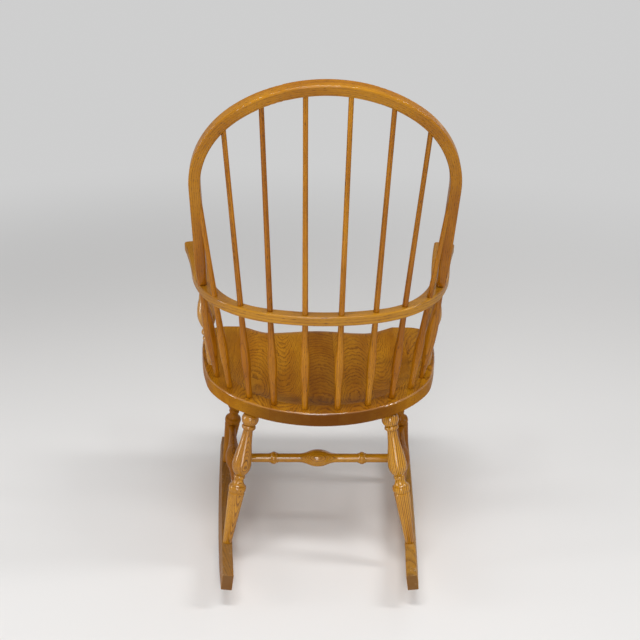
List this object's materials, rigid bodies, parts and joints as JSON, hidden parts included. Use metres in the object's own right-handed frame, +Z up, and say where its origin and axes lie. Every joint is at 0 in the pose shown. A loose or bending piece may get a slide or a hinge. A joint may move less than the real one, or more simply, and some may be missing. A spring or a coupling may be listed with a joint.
{
  "type": "hoop back rocking armchair",
  "caption": "Windsor rocking armchair: bent hoop back on an arm rail, slender bulbed spindles, saddled plank seat, turned splayed legs and stretchers on curved rockers.",
  "frame": {"origin": "on the floor under the centre of the bounding box", "axes": "+Z up, the sitter faces -Y, +X towards the sitter's left"},
  "size_m": [0.6146, 0.6046, 1.0965],
  "materials": {
    "seat_wood": "satin lacquer over a golden brown stain",
    "bent_wood": "satin lacquer over a golden brown stain",
    "turned_wood": "satin lacquer over a golden brown stain"
  },
  "bodies": {
    "root": {"seat": "seat_wood", "arm_rail": "bent_wood", "back_hoop": "bent_wood", "long_spindle_1": "turned_wood", "long_spindle_2": "turned_wood", "long_spindle_3": "turned_wood", "long_spindle_4": "turned_wood", "long_spindle_5": "turned_wood", "long_spindle_6": "turned_wood", "long_spindle_7": "turned_wood", "long_spindle_8": "turned_wood", "short_spindle_right": "turned_wood", "short_spindle_left": "turned_wood", "arm_post_right": "turned_wood", "arm_post_left": "turned_wood", "rear_leg_right": "turned_wood", "rear_leg_left": "turned_wood", "front_leg_right": "turned_wood", "front_leg_left": "turned_wood", "side_stretcher_right": "turned_wood", "side_stretcher_left": "turned_wood", "cross_stretcher": "turned_wood", "rocker_right": "bent_wood", "rocker_left": "bent_wood"}
  },
  "joints": []
}
